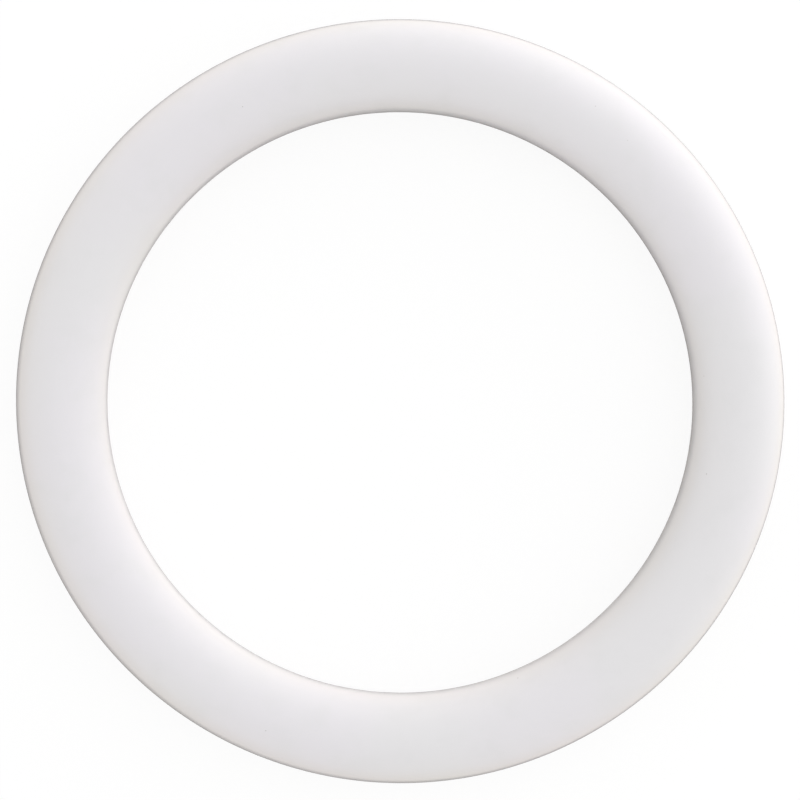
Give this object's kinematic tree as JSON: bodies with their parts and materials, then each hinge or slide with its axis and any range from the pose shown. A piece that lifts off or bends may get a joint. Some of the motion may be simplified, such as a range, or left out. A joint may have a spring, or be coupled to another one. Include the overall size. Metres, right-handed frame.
{
  "type": "gymnastics ring",
  "caption": "Round hand ring with a round grip section, moulded as two welded half shells over a welded steel core, hung from a strap and gripped through its open centre.",
  "frame": {"origin": "centre of the ring, on its axis and in the parting plane of its two shells", "axes": "+Z along the ring's axis, out of the front shell; X and Y lie in the plane of the ring, and the welded ends of the core lie on +X"},
  "size_m": [0.236, 0.236, 0.028],
  "materials": {
    "shell_plastic": "satin moulded ABS, white",
    "weld_plastic": "remelted ABS, white",
    "core_steel": "drawn bar, bent",
    "weld_steel": "ground weld"
  },
  "bodies": {
    "root": {"front_shell": "shell_plastic", "rear_shell": "shell_plastic", "outer_seam_weld": "weld_plastic", "inner_seam_weld": "weld_plastic", "core_ring": "core_steel", "core_weld": "weld_steel"}
  },
  "joints": []
}
